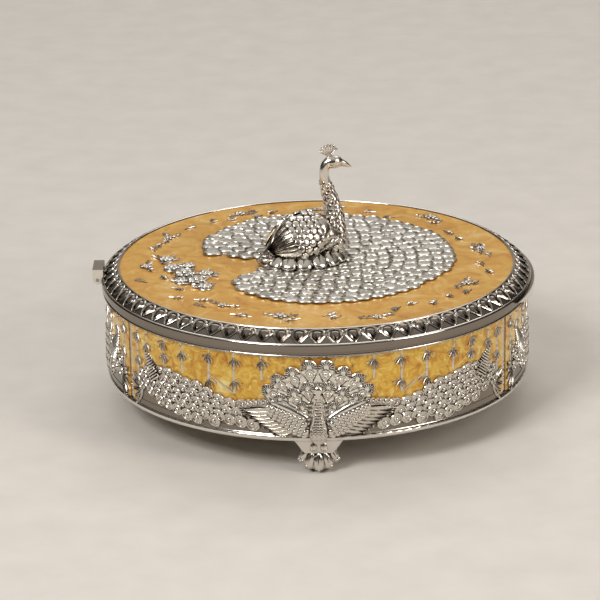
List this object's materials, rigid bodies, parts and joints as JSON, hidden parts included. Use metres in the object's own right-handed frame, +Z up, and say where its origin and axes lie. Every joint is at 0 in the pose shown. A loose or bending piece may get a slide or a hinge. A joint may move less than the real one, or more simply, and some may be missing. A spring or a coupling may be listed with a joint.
{
  "type": "dry fruit box",
  "caption": "Round cast box with enamelled sides and lid, peacock relief and a standing peacock on the lid, leaf feet, a hinged lid and a divided tray for nuts and dried fruit",
  "frame": {"origin": "on the box's axis in the plane the three feet stand on", "axes": "+Z up; -Y front, over the front foot and towards the viewer of the picture; -X the hinge; +X the side that opens and the way the bird on the lid faces"},
  "size_m": [0.2915, 0.2871, 0.1751],
  "materials": {
    "silver_plate": "bright silver plate over a cast zinc alloy, darkened in the hollows",
    "amber_enamel": "pearly amber enamel",
    "screw_steel": "plain steel",
    "plated_sheet": "satin plated sheet",
    "velvet_lining": "short-pile velvet on board",
    "tray_plastic": "moulded plastic, soft gloss"
  },
  "bodies": {
    "base": {"base_band": "silver_plate", "base_plate": "plated_sheet", "base_screws": "screw_steel", "divided_tray": "tray_plastic", "foot_front": "silver_plate", "foot_rear_left": "silver_plate", "foot_rear_right": "silver_plate", "foot_screws": "screw_steel", "hinge_body_leaf": "silver_plate", "hinge_pin": "screw_steel", "hinge_screws": "screw_steel", "side_bird_front": "silver_plate", "side_bird_rear_left": "silver_plate", "side_bird_rear_right": "silver_plate", "side_enamel_front": "amber_enamel", "side_enamel_rear_left": "amber_enamel", "side_enamel_rear_right": "amber_enamel", "side_panel_front": "silver_plate", "side_panel_rear_left": "silver_plate", "side_panel_rear_right": "silver_plate", "side_relief_front": "silver_plate", "side_relief_rear_left": "silver_plate", "side_relief_rear_right": "silver_plate", "top_rim": "silver_plate"},
    "lid": {"figure_body": "silver_plate", "figure_crest": "silver_plate", "figure_neck": "silver_plate", "figure_screws": "screw_steel", "hinge_lid_leaf": "silver_plate", "lid_enamel": "amber_enamel", "lid_frame": "silver_plate", "lid_lining": "velvet_lining", "lid_panel": "plated_sheet", "lid_screws": "screw_steel", "lid_train": "silver_plate", "thumb_tab": "silver_plate"}
  },
  "joints": [
    {"name": "lid_hinge", "type": "hinge", "parent": "base", "child": "lid", "pos_m": [-0.1443, 0, 0.0862], "axis": [0, -1, 0], "range_deg": [0, 100]}
  ]
}
